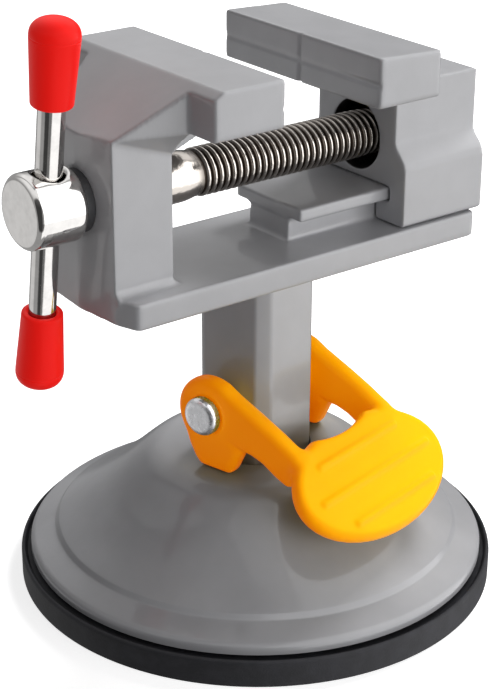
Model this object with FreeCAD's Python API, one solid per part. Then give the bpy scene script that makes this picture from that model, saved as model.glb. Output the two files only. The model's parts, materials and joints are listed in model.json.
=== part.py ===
import FreeCAD, Part
import math
import os

# A small bench vise on a lever-operated suction foot, in millimetres.
# +X runs along the clamping screw from the fixed jaw to the moving jaw, +Z is up,
# and the origin is on the post's axis at the level of the table.

V = FreeCAD.Vector
X_AXIS = V(1, 0, 0)
Z_AXIS = V(0, 0, 1)
ORIGIN = V(0, 0, 0)

# ---------------------------------------------------------------- fits
RUN = 0.05                     # radial clearance of a running shaft
SLIDE = 0.15                   # clearance between the jaw's slot and the rail

# ---------------------------------------------------------------- suction foot
PAD_R = 41.2                   # rubber ring, outer radius
RING_TOP = 4.9                 # height of the rubber ring
RING_INNER_R = 34.0
DIAPHRAGM = 2.1                # thickness of the rubber sheet
BOSS_R = 12.0                  # rubber boss round the stud
BOSS_LOW = 7.0                 # underside of the boss while the pad is pulled up
BOSS_TOP = 12.9
DOME_R = 39.5                  # rim of the metal dome
DOME_TOP = 23.0                # flat the cam feet stand on
DOME_FLAT_R = 16.4
DOME_OPENING_R = 9.5           # round opening the square post slides through
STUD_R = 6.3
STUD_FLANGE_R = 9.5
STUD_FLANGE_LOW = 9.0
STUD_FLANGE_TOP = 10.5
STUD_TOP = 20.0

# ---------------------------------------------------------------- post
POST_HALF = 7.5                # a square tube with its corners cut off
POST_CORNER = 2.0
POST_LOW = 13.0
POST_TOP = 55.55
POST_LEDGE = 42.0              # the swivel retainer bears on this ledge from below
POST_LOWER_BORE = STUD_R

# ---------------------------------------------------------------- lever and its pin
LEVER_TURN = 14.0              # degrees the lever stands round the post from square
PIN_R = 2.0
PIN_Z = 33.1
ARM_IN = 10.3                  # inner face of each lever arm from the post's axis
ARM_OUT = 13.7
EYE_R = 5.8
CAM_LIFT = 3.0                 # how far the cam pulls the post up
CAM_SWING = 60.0               # degrees of lever swing for that lift
CAM_GAP = 0.05
THUMB_HALF = 18.1              # half width of the thumb plate
THUMB_HALF_LENGTH = 10.0
THUMB_MID_FRONT = 25.1         # centre of the plate's top, ahead of the pin
THUMB_MID_DROP = 7.7           # and below it
THUMB_SLOPE = 42.0             # degrees down from level
THUMB_THICK = 3.0
THUMB_CUT = -8.3               # where the gap between the arms ends, up the plate
RIB_HEIGHT = 0.35
RIB_WIDTH = 0.9

# ---------------------------------------------------------------- swivel
SPIGOT_R = 5.2
SPIGOT_LOW = POST_LEDGE - 0.1
SWIVEL_WASHER_R = 6.1
SWIVEL_WASHER_THICK = 1.0
SWIVEL_SCREW_R = 2.5
SWIVEL_HEAD_R = 4.2
SWIVEL_HEAD_HIGH = 2.5
SWIVEL_SCREW_TOP = 52.0
FRICTION_RING_R = 7.3
FRICTION_RING_LOW = POST_TOP + 0.05

# ---------------------------------------------------------------- vise body
BED_LOW = 56.4
BED_TOP = 60.8
BED_HALF = 13.1
BED_FRONT = -32.8
BED_REAR = 37.3
BED_CORNER = 1.3
BED_EDGE = 0.35
BED_FAR_ROUND = 2.2            # the long top edge at +Y is rounded more than the rest
FOOT_SPREAD = 0.9              # the upright spreads this much where it meets the bed
NOSE = -35.0                   # centre of the slightly pointed end face
UPRIGHT_HALF = 9.03
UPRIGHT_OUT = -34.2            # outer face at the upright's two edges
UPRIGHT_IN = -23.3
JAW_HALF = 20.0
JAW_TOP = 93.6
FIXED_JAW_LOW = 86.07
FIXED_JAW_BACK = -23.4
FIXED_JAW_FACE = -10.4
SLOPE_LOW_Z = 85.6             # the sloping back starts here on the outer face
SLOPE_TOP_X = -21.7            # and reaches the top here
FLARE_HALF = 13.6              # half width of the flared neck where it meets the jaw
NECK_Z = 81.9                  # the neck's underside starts here, on the inner face
NECK_BEND_X = -19.0            # and bends up to the jaw here
NECK_BEND_Z = 83.56
NECK_END = -16.0
RAIL_FRONT = 2.17
RAIL_HALF = 8.5
RAIL_TOP = 67.1
RAIL_UNDER = 64.9
STEM_HALF = 5.2
STEM_LEAN = 0.35               # the stem's front end leans back this much at its top
GRIP_DEPTH = 0.4               # V grooves in the jaw faces
GRIP_HALF = 0.55
GRIP_Z = 89.2

# ---------------------------------------------------------------- clamping screw
SCREW_Z = 74.4
SHANK_R = 3.2
COLLAR_R = 4.15
COLLAR_FRONT = UPRIGHT_IN + RUN
COLLAR_TAPER = -15.7           # the collar tapers from here
COLLAR_REAR = -13.6
COLLAR_END_R = 3.75
THREAD_R = 4.0
THREAD_ROOT_R = 3.25
THREAD_PITCH = 1.25
THREAD_FRONT = COLLAR_REAR
THREAD_TURNS = 46
HEAD_R = 6.0
HEAD_FRONT = -45.0
HEAD_REAR = -36.2
HEAD_BEVEL = 0.8
SHANK_END = -43.6
THRUST_R = 5.0
SPOT_FACE = -34.6              # flat machined into the nose for the thrust washer
SPOT_FACE_R = 5.5

# ---------------------------------------------------------------- tommy bar
BAR_X = -40.1
BAR_R = 2.15
BAR_HALF = 29.3
BAR_SHIFT = -0.7               # the bar rests slightly off its middle
BAR_TILT = 8.6                 # degrees the bar leans about the screw's axis
CAP_LENGTH = 13.4
CAP_MOUTH_R = 3.2
CAP_R = 3.8
CAP_WIDEST = 0.74              # share of the cap's length where it is widest
BLUNT = 0.85                   # below 1 makes the round end squarer
CAP_REACH = 30.8               # outer end of each cap from the middle of the bar

# ---------------------------------------------------------------- moving jaw
MOVING_FACE = 8.35
MOVING_BACK = 21.0
MOVING_LOW = 85.5
BODY_FRONT = 20.9
BODY_BACK = 38.7
BODY_LOW = BED_TOP + SLIDE
BODY_TOP = 85.0
BODY_HALF = 9.9                # upper half width
SKIRT_HALF = 12.6              # lower half width, over the rail
SKIRT_TOP = 71.3
SHOULDER_TOP = 75.2
BUTTRESS_X = 29.5              # where the sloping buttress leaves the body's top
BUTTRESS_Z = 92.0
SLOT_HALF = 8.9
SLOT_THROAT = STEM_HALF + 0.3
SCREW_HOLE_R = 5.95
NUT_FRONT = 30.0
NUT_BACK = 38.2
NUT_FLAT = 0.4                 # chamfer at the mouth of the bush


# ================================================================ helpers
def disc_z(radius, low, high, x=0.0, y=0.0):
    return Part.makeCylinder(radius, high - low, V(x, y, low), Z_AXIS)


def disc_x(radius, front, rear, y=0.0, z=SCREW_Z):
    return Part.makeCylinder(radius, rear - front, V(front, y, z), X_AXIS)


def block(x_low, x_high, y_low, y_high, z_low, z_high):
    size = V(x_high - x_low, y_high - y_low, z_high - z_low)
    return Part.makeBox(size.x, size.y, size.z, V(x_low, y_low, z_low))


def face_of(corners):
    return Part.Face(Part.makePolygon(corners + [corners[0]]))


def prism_x(outline, front, rear):
    """Outline of (y, z) points, pushed along X."""
    return face_of([V(front, y, z) for y, z in outline]).extrude(V(rear - front, 0, 0))


def prism_y(outline, low, high):
    """Outline of (x, z) points, pushed along Y."""
    return face_of([V(x, low, z) for x, z in outline]).extrude(V(0, high - low, 0))


def prism_z(outline, low, high):
    """Outline of (x, y) points, pushed along Z."""
    return face_of([V(x, y, low) for x, y in outline]).extrude(V(0, 0, high - low))


def turned_z(outline):
    """Outline of (r, z) points, turned about the post's axis."""
    return face_of([V(r, 0, z) for r, z in outline]).revolve(ORIGIN, Z_AXIS, 360)


def turned_x(outline):
    """Outline of (x, r) points, turned about the clamping screw's axis."""
    face = face_of([V(x, 0, SCREW_Z + r) for x, r in outline])
    return face.revolve(V(0, 0, SCREW_Z), X_AXIS, 360)


def mirrored(outline):
    """A half outline of points with x > 0, completed across x = 0."""
    return outline + [(-x, y) for x, y in reversed(outline)]


def joined(shapes):
    return shapes[0].multiFuse(shapes[1:]).removeSplitter()


def rounded(shape, radius, wanted):
    """Round the edges that the test picks."""
    return shape.makeFillet(radius, [edge for edge in shape.Edges if wanted(edge)])


def upright_edge(edge):
    """A straight edge that runs along Z."""
    ends = [vertex.Point for vertex in edge.Vertexes]
    return len(ends) == 2 and abs(ends[0].x - ends[1].x) + abs(ends[0].y - ends[1].y) < 1e-6


def along_y(edge):
    ends = [vertex.Point for vertex in edge.Vertexes]
    return len(ends) == 2 and abs(ends[0].x - ends[1].x) + abs(ends[0].z - ends[1].z) < 1e-6


def turn_with_lever(shape):
    """From the lever's own frame (X along the pin, -Y ahead) to the vise's frame."""
    shape.rotate(ORIGIN, Z_AXIS, LEVER_TURN)
    return shape


# ================================================================ suction foot
def base_dome():
    outside = [(DOME_OPENING_R, DOME_TOP), (DOME_FLAT_R, DOME_TOP), (18.6, 22.0), (20.8, 20.1),
               (24.8, 16.3), (30.3, 12.1), (34.6, 9.2), (35.4, 8.6), (38.9, 6.7),
               (DOME_R, 6.1), (DOME_R, RING_TOP)]
    inside = [(35.5, RING_TOP), (33.8, 6.4), (19.5, 16.4), (12.6, 16.4), (12.6, 15.0),
              (DOME_OPENING_R, 15.0)]
    return turned_z(outside + inside)


def suction_pad():
    outside = [(36.5, 0), (PAD_R - 0.1, 0), (PAD_R, 0.1), (PAD_R, RING_TOP - 0.7),
               (PAD_R - 0.7, RING_TOP), (RING_INNER_R, RING_TOP), (RING_INNER_R - 1, 4.2),
               (BOSS_R, BOSS_LOW + DIAPHRAGM), (BOSS_R, BOSS_TOP), (STUD_R, BOSS_TOP)]
    pocket = [(STUD_R, STUD_FLANGE_TOP), (STUD_FLANGE_R, STUD_FLANGE_TOP),
              (STUD_FLANGE_R, STUD_FLANGE_LOW), (0, STUD_FLANGE_LOW)]
    underside = [(0, BOSS_LOW), (BOSS_R - 1, BOSS_LOW), (RING_INNER_R, 1.6)]
    return turned_z(outside + pocket + underside)


def pad_stud():
    flange = disc_z(STUD_FLANGE_R, STUD_FLANGE_LOW, STUD_FLANGE_TOP)
    plug = disc_z(STUD_R, STUD_FLANGE_LOW, STUD_TOP)
    return joined([flange, plug])


# ================================================================ post and swivel
def pin_hole(radius, reach):
    hole = Part.makeCylinder(radius, 2 * reach, V(-reach, 0, PIN_Z), X_AXIS)
    return turn_with_lever(hole)


def post_outline():
    """Eight corners: four sides and four bevels, square to the lever's pin."""
    short = POST_HALF - POST_CORNER
    first = [(POST_HALF, -short), (POST_HALF, short)]
    outline = []
    for _ in range(4):
        outline.extend(first)
        first = [(-y, x) for x, y in first]
    return outline


def post():
    tube = prism_z(post_outline(), POST_LOW, POST_TOP)
    tube = tube.makeFillet(0.6, [e for e in tube.Edges if upright_edge(e)])
    tube = tube.makeFillet(0.5, [e for e in tube.Edges if e.BoundBox.ZMin > POST_TOP - 0.01])
    tube = turn_with_lever(tube)
    tube = tube.cut(disc_z(POST_LOWER_BORE, POST_LOW, POST_LEDGE))
    tube = tube.cut(disc_z(SPIGOT_R + RUN, POST_LEDGE, POST_TOP))
    return tube.cut(pin_hole(PIN_R, POST_HALF + 1))


def friction_ring():
    ring = disc_z(FRICTION_RING_R, FRICTION_RING_LOW, BED_LOW)
    return ring.cut(disc_z(SPIGOT_R + RUN, FRICTION_RING_LOW, BED_LOW))


def swivel_washer():
    low = SPIGOT_LOW - SWIVEL_WASHER_THICK
    washer = disc_z(SWIVEL_WASHER_R, low, SPIGOT_LOW)
    return washer.cut(disc_z(SWIVEL_SCREW_R, low, SPIGOT_LOW))


def swivel_screw():
    head_top = SPIGOT_LOW - SWIVEL_WASHER_THICK
    head_low = head_top - SWIVEL_HEAD_HIGH
    head = disc_z(SWIVEL_HEAD_R, head_low, head_top)
    head = head.makeFillet(1.0, [e for e in head.Edges if e.BoundBox.ZMax < head_low + 0.01])
    shank = disc_z(SWIVEL_SCREW_R, head_top, SWIVEL_SCREW_TOP)
    slot_half = 0.6
    slot_depth = 1.2
    slot = block(-SWIVEL_HEAD_R, SWIVEL_HEAD_R, -slot_half, slot_half,
                 head_low, head_low + slot_depth)
    return joined([head, shank]).cut(slot)


# ================================================================ lever
def cam_outline():
    """Underside of the cam foot: its support falls evenly as the lever swings up."""
    rate = CAM_LIFT / math.radians(CAM_SWING)
    height = PIN_Z - DOME_TOP - CAM_GAP
    steps = 5
    points = []
    for step in range(steps):
        turn = math.radians(CAM_SWING / 2) * step / (steps - 1)
        reach = height - rate * turn
        front = rate * math.cos(turn) - reach * math.sin(turn)
        up = -rate * math.sin(turn) - reach * math.cos(turn)
        points.append((front, up))
    return points


def lever_arm(x_low, x_high):
    """An eye on the pin, a foot below it and a beam ahead, as (ahead, up) from the pin."""
    heel = [(-2.3, -8.5), (-3.6, -6.2), (-4.9, -2.4), (0, 0)]
    toe = [(6.9, -4.9), (5.9, -7.0), (5.0, -8.9), (4.0, -9.9)]
    foot = toe + cam_outline() + heel
    beam = [(1.2, 5.2), (2.8, 5.1), (5.9, 3.7), (10.1, 1.8), (14.2, -0.2), (18.4, -2.5),
            (20.4, -6.0), (16.8, -8.0), (14.5, -7.0), (11.8, -5.4), (9.3, -4.6), (7.8, -4.5),
            (6.5, -4.3), (0, -3.0)]
    shapes = [Part.makeCylinder(EYE_R, x_high - x_low, V(x_low, 0, PIN_Z), X_AXIS)]
    for outline in (foot, beam):
        shapes.append(prism_x([(-front, PIN_Z + up) for front, up in outline], x_low, x_high))
    return joined(shapes)


def thumb_plate():
    """An oval plate with three ribs, built flat and tipped forward."""
    count = 40
    turns = [2 * math.pi * (step + 0.5) / count for step in range(count)]
    oval = [(THUMB_HALF * math.cos(turn), THUMB_HALF_LENGTH * math.sin(turn)) for turn in turns]
    plate = prism_z(oval, -THUMB_THICK, 0)
    plate = rounded(plate, 0.7, lambda edge: edge.BoundBox.ZLength < 1e-6)
    plate = plate.cut(block(-THUMB_HALF, THUMB_HALF, -THUMB_CUT, THUMB_HALF,
                            -THUMB_THICK - 1, 1))
    half_rib = RIB_WIDTH / 2
    for half_length, down in ((10.5, -5.0), (14.6, 0.4), (10.7, 5.8)):
        rib = block(-half_length, half_length, -down - half_rib, -down + half_rib,
                    -1.0, RIB_HEIGHT)
        plate = plate.fuse(rib)
    plate.rotate(ORIGIN, X_AXIS, THUMB_SLOPE)
    plate.translate(V(0, -THUMB_MID_FRONT, PIN_Z - THUMB_MID_DROP))
    return plate


def suction_lever():
    shapes = [thumb_plate()]
    boss_r = 3.6
    boss_in = POST_HALF + 0.2
    for side in (-1, 1):
        low, high = sorted((side * ARM_IN, side * ARM_OUT))
        shapes.append(lever_arm(low, high))
        low, high = sorted((side * boss_in, side * ARM_IN))
        shapes.append(Part.makeCylinder(boss_r, high - low, V(low, 0, PIN_Z), X_AXIS))
    lever = joined(shapes)
    bore = Part.makeCylinder(PIN_R + RUN, 2 * ARM_OUT, V(-ARM_OUT, 0, PIN_Z), X_AXIS)
    return turn_with_lever(lever.cut(bore))


def lever_pin():
    head_r = 3.3
    head_high = 1.8
    under_head = -ARM_OUT - 0.1
    end = ARM_OUT + 1.3
    shank = Part.makeCylinder(PIN_R, end - under_head, V(under_head, 0, PIN_Z), X_AXIS)
    head = Part.makeCylinder(head_r, head_high, V(under_head - head_high, 0, PIN_Z), X_AXIS)
    outer_rim = [e for e in head.Edges if e.BoundBox.XMax < under_head - head_high + 0.01]
    return turn_with_lever(joined([shank, head.makeFillet(0.5, outer_rim)]))


def pin_clip():
    clip_r = 4.0
    low = ARM_OUT + 0.15
    thick = 0.7
    ring = Part.makeCylinder(clip_r, thick, V(low, 0, PIN_Z), X_AXIS)
    return turn_with_lever(ring.cut(Part.makeCylinder(PIN_R, thick, V(low, 0, PIN_Z), X_AXIS)))


# ================================================================ vise body
def bed():
    outline = [(NOSE, 0), (UPRIGHT_OUT, -UPRIGHT_HALF), (BED_FRONT, -BED_HALF),
               (BED_REAR, -BED_HALF), (BED_REAR, BED_HALF), (BED_FRONT, BED_HALF),
               (UPRIGHT_OUT, UPRIGHT_HALF)]
    plate = prism_z(outline, BED_LOW, BED_TOP)

    def corner(edge):
        return upright_edge(edge) and edge.BoundBox.YLength < 1e-6 and \
            abs(edge.BoundBox.YMin) > BED_HALF - 0.01

    plate = rounded(plate, BED_CORNER, corner)
    plate = rounded(plate, BED_EDGE, lambda edge: edge.BoundBox.ZLength < 1e-6)
    y = BED_HALF - BED_FAR_ROUND
    z = BED_TOP - BED_FAR_ROUND
    waste = block(NOSE - 1, BED_REAR + 1, y, BED_HALF + 1, z, BED_TOP + 1)
    return plate.cut(waste.cut(disc_x(BED_FAR_ROUND, NOSE - 1, BED_REAR + 1, y, z)))


def upright_foot():
    """The upright's sides and inner face spread out where they run into the bed."""
    half = UPRIGHT_HALF + FOOT_SPREAD
    high = BED_TOP + FOOT_SPREAD
    across = [(half, BED_TOP), (half, BED_TOP - 1), (-half, BED_TOP - 1), (-half, BED_TOP),
              (-UPRIGHT_HALF, high), (UPRIGHT_HALF, high)]
    inner = UPRIGHT_IN + FOOT_SPREAD
    along = [(UPRIGHT_OUT, BED_TOP - 1), (inner, BED_TOP - 1), (inner, BED_TOP),
             (UPRIGHT_IN, high), (UPRIGHT_OUT, high)]
    return prism_x(across, UPRIGHT_OUT, inner).common(prism_y(along, -half, half))


def upright():
    slope = (JAW_TOP - SLOPE_LOW_Z) / (SLOPE_TOP_X - UPRIGHT_OUT)
    nose_z = SLOPE_LOW_Z - slope * (UPRIGHT_OUT - NOSE)
    side = [(NOSE, BED_TOP - 1), (UPRIGHT_IN, BED_TOP - 1), (UPRIGHT_IN, NECK_Z),
            (NECK_BEND_X, NECK_BEND_Z), (NECK_END, FIXED_JAW_LOW),
            (FIXED_JAW_FACE - 1, FIXED_JAW_LOW), (FIXED_JAW_FACE - 1, JAW_TOP),
            (SLOPE_TOP_X, JAW_TOP), (NOSE, nose_z)]
    web = prism_y(side, -UPRIGHT_HALF, UPRIGHT_HALF)
    nose_plan = [(NOSE, 0), (UPRIGHT_OUT, -UPRIGHT_HALF), (FIXED_JAW_FACE, -UPRIGHT_HALF),
                 (FIXED_JAW_FACE, UPRIGHT_HALF), (UPRIGHT_OUT, UPRIGHT_HALF)]
    return web.common(prism_z(nose_plan, BED_LOW, JAW_TOP))


def neck_flare(side):
    """One flank that widens from the upright to the back of the fixed jaw."""
    slope = (JAW_TOP - SLOPE_LOW_Z) / (SLOPE_TOP_X - UPRIGHT_OUT)
    top = JAW_TOP - slope * (SLOPE_TOP_X - FIXED_JAW_BACK)
    inner = side * (UPRIGHT_HALF - 0.5)
    edge = side * UPRIGHT_HALF
    apex = V(UPRIGHT_OUT, edge, SLOPE_LOW_Z)
    apex_in = V(UPRIGHT_OUT, inner, SLOPE_LOW_Z)
    corner_top = V(FIXED_JAW_BACK, side * FLARE_HALF, top)
    corner_low = V(FIXED_JAW_BACK, side * FLARE_HALF, FIXED_JAW_LOW)
    root = V(FIXED_JAW_BACK, edge, NECK_Z)
    root_in = V(FIXED_JAW_BACK, inner, NECK_Z)
    top_in = V(FIXED_JAW_BACK, inner, top)
    faces = [face_of([apex, corner_top, corner_low]),
             face_of([apex, corner_low, root]),
             face_of([apex, root, root_in, apex_in]),
             face_of([apex_in, root_in, top_in]),
             face_of([apex, apex_in, top_in, corner_top]),
             face_of([corner_top, top_in, root_in, root, corner_low])]
    return Part.makeSolid(Part.makeShell(faces))


def grip_grooves(face_x, inward):
    """A long level V groove and a short upright one, cut into a jaw's face."""
    tip = face_x + inward * GRIP_DEPTH
    level = prism_y([(face_x, GRIP_Z - GRIP_HALF), (face_x, GRIP_Z + GRIP_HALF), (tip, GRIP_Z)],
                    -JAW_HALF - 1, JAW_HALF + 1)
    upright_cut = prism_z([(face_x, -GRIP_HALF), (face_x, GRIP_HALF), (tip, 0)],
                          MOVING_LOW - 1, JAW_TOP + 1)
    return [level, upright_cut]


def fixed_jaw():
    slope = (JAW_TOP - SLOPE_LOW_Z) / (SLOPE_TOP_X - UPRIGHT_OUT)
    back_top = JAW_TOP - slope * (SLOPE_TOP_X - FIXED_JAW_BACK)
    side = [(FIXED_JAW_BACK, FIXED_JAW_LOW), (FIXED_JAW_FACE, FIXED_JAW_LOW),
            (FIXED_JAW_FACE, JAW_TOP), (SLOPE_TOP_X, JAW_TOP), (FIXED_JAW_BACK, back_top)]
    bar = prism_y(side, -JAW_HALF, JAW_HALF)
    return rounded(bar, 0.5, lambda edge: not along_y(edge))


def rail():
    """A flat flange on a narrower stem that runs back from the middle of the bed."""
    flange = block(RAIL_FRONT, BED_REAR, -RAIL_HALF, RAIL_HALF, RAIL_UNDER, RAIL_TOP)

    def outer(edge):
        box = edge.BoundBox
        return box.XLength > 10 and box.ZMin > RAIL_UNDER + 0.5

    flange = rounded(flange, 0.4, outer)
    middle = (RAIL_UNDER + RAIL_TOP) / 2
    stem = prism_y([(RAIL_FRONT, BED_TOP - 1), (BED_REAR, BED_TOP - 1), (BED_REAR, middle),
                    (RAIL_FRONT + STEM_LEAN, middle)], -STEM_HALF, STEM_HALF)
    return joined([flange, stem])


def vise_body():
    shapes = [bed(), upright_foot(), upright(), fixed_jaw(), neck_flare(-1), neck_flare(1),
              rail()]
    shapes.append(disc_z(SPIGOT_R, SPIGOT_LOW, BED_TOP - 1))
    body = joined(shapes)
    body = body.cut(disc_z(SWIVEL_SCREW_R, SPIGOT_LOW, SWIVEL_SCREW_TOP))
    body = body.cut(disc_x(SHANK_R + RUN, NOSE - 1, UPRIGHT_IN + 1))
    body = body.cut(disc_x(SPOT_FACE_R, NOSE - 1, SPOT_FACE))
    for groove in grip_grooves(FIXED_JAW_FACE, -1):
        body = body.cut(groove)
    return body.removeSplitter()


# ================================================================ clamping screw
def lead_screw():
    """Shank, collar and a row of ridges at the thread's pitch."""
    bevel = 0.5
    outline = [(SHANK_END, 0), (SHANK_END, SHANK_R), (COLLAR_FRONT, SHANK_R),
               (COLLAR_FRONT, COLLAR_R), (COLLAR_TAPER, COLLAR_R),
               (COLLAR_REAR, COLLAR_END_R)]
    flat = THREAD_PITCH / 8
    flank = (THREAD_PITCH - 2 * flat) / 2
    for turn in range(THREAD_TURNS):
        x = THREAD_FRONT + turn * THREAD_PITCH
        outline += [(x, THREAD_ROOT_R), (x + flank, THREAD_R), (x + flank + flat, THREAD_R),
                    (x + 2 * flank + flat, THREAD_ROOT_R)]
    end = THREAD_FRONT + THREAD_TURNS * THREAD_PITCH
    outline += [(end, THREAD_ROOT_R), (end + bevel, THREAD_ROOT_R - bevel), (end + bevel, 0)]
    return turned_x(outline).cut(bar_hole())


def bar_hole():
    return lean(disc_z(BAR_R + RUN, SCREW_Z - 2 * HEAD_R, SCREW_Z + 2 * HEAD_R, BAR_X))


def lean(shape):
    """Lean a shape built upright on the bar's line about the screw's axis."""
    shape.rotate(V(0, 0, SCREW_Z), X_AXIS, BAR_TILT)
    return shape


def screw_head():
    rear_bevel = 0.3
    outline = [(HEAD_FRONT, 0), (HEAD_FRONT, HEAD_R - HEAD_BEVEL),
               (HEAD_FRONT + HEAD_BEVEL, HEAD_R), (HEAD_REAR - rear_bevel, HEAD_R),
               (HEAD_REAR, HEAD_R - rear_bevel), (HEAD_REAR, SHANK_R),
               (SHANK_END, SHANK_R), (SHANK_END, 0)]
    return turned_x(outline).cut(bar_hole())


def thrust_washer():
    front = HEAD_REAR + RUN
    rear = SPOT_FACE - RUN
    return disc_x(THRUST_R, front, rear).cut(disc_x(SHANK_R + RUN, front, rear))


# ================================================================ tommy bar
def tommy_bar():
    middle = SCREW_Z + BAR_SHIFT
    bar = disc_z(BAR_R, middle - BAR_HALF, middle + BAR_HALF, BAR_X)
    return lean(bar.makeChamfer(0.4, [e for e in bar.Edges if e.BoundBox.ZLength < 1e-6]))


def bar_cap(side):
    """A bulb that is narrow at its mouth and has a round end."""
    mouth = CAP_REACH - CAP_LENGTH
    widest = mouth + CAP_WIDEST * CAP_LENGTH
    lip = 0.5
    outline = [(BAR_R, mouth), (CAP_MOUTH_R - lip, mouth), (CAP_MOUTH_R, mouth + lip),
               (CAP_R, widest)]
    steps = 8
    for step in range(1, steps):
        turn = math.pi / 2 * step / steps
        outline.append((CAP_R * math.cos(turn) ** BLUNT,
                        widest + (CAP_REACH - widest) * math.sin(turn) ** BLUNT))
    outline.append((0, CAP_REACH))
    outline += [(0, BAR_HALF), (BAR_R, BAR_HALF)]
    cap = turned_z(outline)
    if side < 0:
        cap = cap.mirror(ORIGIN, Z_AXIS)
    cap.translate(V(BAR_X, 0, SCREW_Z + BAR_SHIFT))
    return lean(cap)


# ================================================================ moving jaw
def jaw_section():
    """Half outline of the jaw's body across the rail, in (y, z)."""
    points = [(SLOT_THROAT, BODY_LOW), (SKIRT_HALF - 0.5, BODY_LOW),
              (SKIRT_HALF, BODY_LOW + 0.5), (SKIRT_HALF, SKIRT_TOP - 0.3)]
    steps = 6
    for step in range(steps + 1):
        share = step / steps
        ease = share * share * (3 - 2 * share)
        points.append((SKIRT_HALF - 0.1 - (SKIRT_HALF - 0.1 - BODY_HALF) * ease,
                       SKIRT_TOP + (SHOULDER_TOP - SKIRT_TOP) * share))
    points.append((BODY_HALF, BODY_TOP))
    return points


def moving_jaw():
    slot_top = RAIL_TOP + SLIDE
    slot_low = RAIL_UNDER - SLIDE
    outside = jaw_section()
    half = [(0, slot_top), (SLOT_HALF, slot_top), (SLOT_HALF, slot_low),
            (SLOT_THROAT, slot_low)] + outside
    section = half + [(-y, z) for y, z in reversed(half[1:])]
    body = prism_x(section, BODY_FRONT, BODY_BACK)
    buttress = prism_y([(BODY_FRONT, BODY_TOP - 2), (BUTTRESS_X, BODY_TOP - 2),
                        (BUTTRESS_X, BODY_TOP), (BODY_FRONT + 2.5, BUTTRESS_Z - 2.5),
                        (BODY_FRONT, BUTTRESS_Z)], -BODY_HALF, BODY_HALF)
    bar = prism_y([(MOVING_FACE, MOVING_LOW), (MOVING_BACK, MOVING_LOW),
                   (MOVING_BACK, JAW_TOP - 0.6), (MOVING_FACE, JAW_TOP)],
                  -JAW_HALF, JAW_HALF)
    bar = rounded(bar, 0.5, lambda edge: not along_y(edge))
    jaw = joined([body, buttress, bar])
    jaw = jaw.cut(disc_x(SCREW_HOLE_R, MOVING_FACE, BODY_BACK + 1))
    for groove in grip_grooves(MOVING_FACE, 1):
        jaw = jaw.cut(groove)
    return jaw.removeSplitter()


def jaw_nut():
    """A plain bush: its bore stands for the tapped thread at the screw's full size."""
    bore = THREAD_R + RUN
    return turned_x([(NUT_FRONT, bore + NUT_FLAT), (NUT_FRONT, SCREW_HOLE_R),
                     (NUT_BACK, SCREW_HOLE_R), (NUT_BACK, bore + NUT_FLAT),
                     (NUT_BACK - NUT_FLAT, bore), (NUT_FRONT + NUT_FLAT, bore)])


# ================================================================ output
PIECES = {
    "base_dome": base_dome,
    "suction_pad": suction_pad,
    "pad_stud": pad_stud,
    "post": post,
    "suction_lever": suction_lever,
    "lever_pin": lever_pin,
    "pin_clip": pin_clip,
    "friction_ring": friction_ring,
    "swivel_washer": swivel_washer,
    "swivel_screw": swivel_screw,
    "vise_body": vise_body,
    "lead_screw": lead_screw,
    "screw_head": screw_head,
    "thrust_washer": thrust_washer,
    "tommy_bar": tommy_bar,
    "upper_bar_cap": lambda: bar_cap(1),
    "lower_bar_cap": lambda: bar_cap(-1),
    "moving_jaw": moving_jaw,
    "jaw_nut": jaw_nut,
}

os.makedirs("parts", exist_ok=True)
for name, build in PIECES.items():
    shape = build()
    print(name, shape.ShapeType, len(shape.Solids), "volume", round(shape.Volume, 1),
          "valid", shape.isValid())
    shape.exportStep("parts/" + name + ".step")
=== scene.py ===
import json
import math

import bmesh
import bpy
import numpy as np
from mathutils import Matrix, Vector


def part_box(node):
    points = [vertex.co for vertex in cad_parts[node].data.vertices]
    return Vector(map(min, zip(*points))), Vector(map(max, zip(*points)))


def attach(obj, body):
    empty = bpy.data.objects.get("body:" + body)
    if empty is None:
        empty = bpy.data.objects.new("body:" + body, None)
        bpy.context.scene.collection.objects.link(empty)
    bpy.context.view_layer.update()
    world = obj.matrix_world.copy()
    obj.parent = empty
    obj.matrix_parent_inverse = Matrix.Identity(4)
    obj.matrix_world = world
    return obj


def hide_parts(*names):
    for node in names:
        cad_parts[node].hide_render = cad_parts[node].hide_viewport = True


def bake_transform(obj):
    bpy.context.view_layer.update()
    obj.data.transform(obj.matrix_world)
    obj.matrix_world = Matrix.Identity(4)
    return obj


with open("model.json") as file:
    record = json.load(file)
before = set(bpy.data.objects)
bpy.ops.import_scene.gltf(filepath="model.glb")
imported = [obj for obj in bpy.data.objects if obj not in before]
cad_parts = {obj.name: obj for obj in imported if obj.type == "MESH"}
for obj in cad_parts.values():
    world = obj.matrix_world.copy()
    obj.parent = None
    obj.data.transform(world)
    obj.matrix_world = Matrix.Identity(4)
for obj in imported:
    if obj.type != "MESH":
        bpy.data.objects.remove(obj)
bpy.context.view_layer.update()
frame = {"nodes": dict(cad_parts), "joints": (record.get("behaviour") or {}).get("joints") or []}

# A small bench vise on a lever-operated suction foot. Lengths in this script are millimetres in the
# frame's own axes: +X runs along the clamping screw, +Z is up, and z = 0 is the table.
MM = 0.001


def corners_of(node):
    low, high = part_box(node)
    return np.array(low) / MM, np.array(high) / MM


def joint_named(name):
    return next(joint for joint in frame["joints"] if joint["name"] == name)


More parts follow.
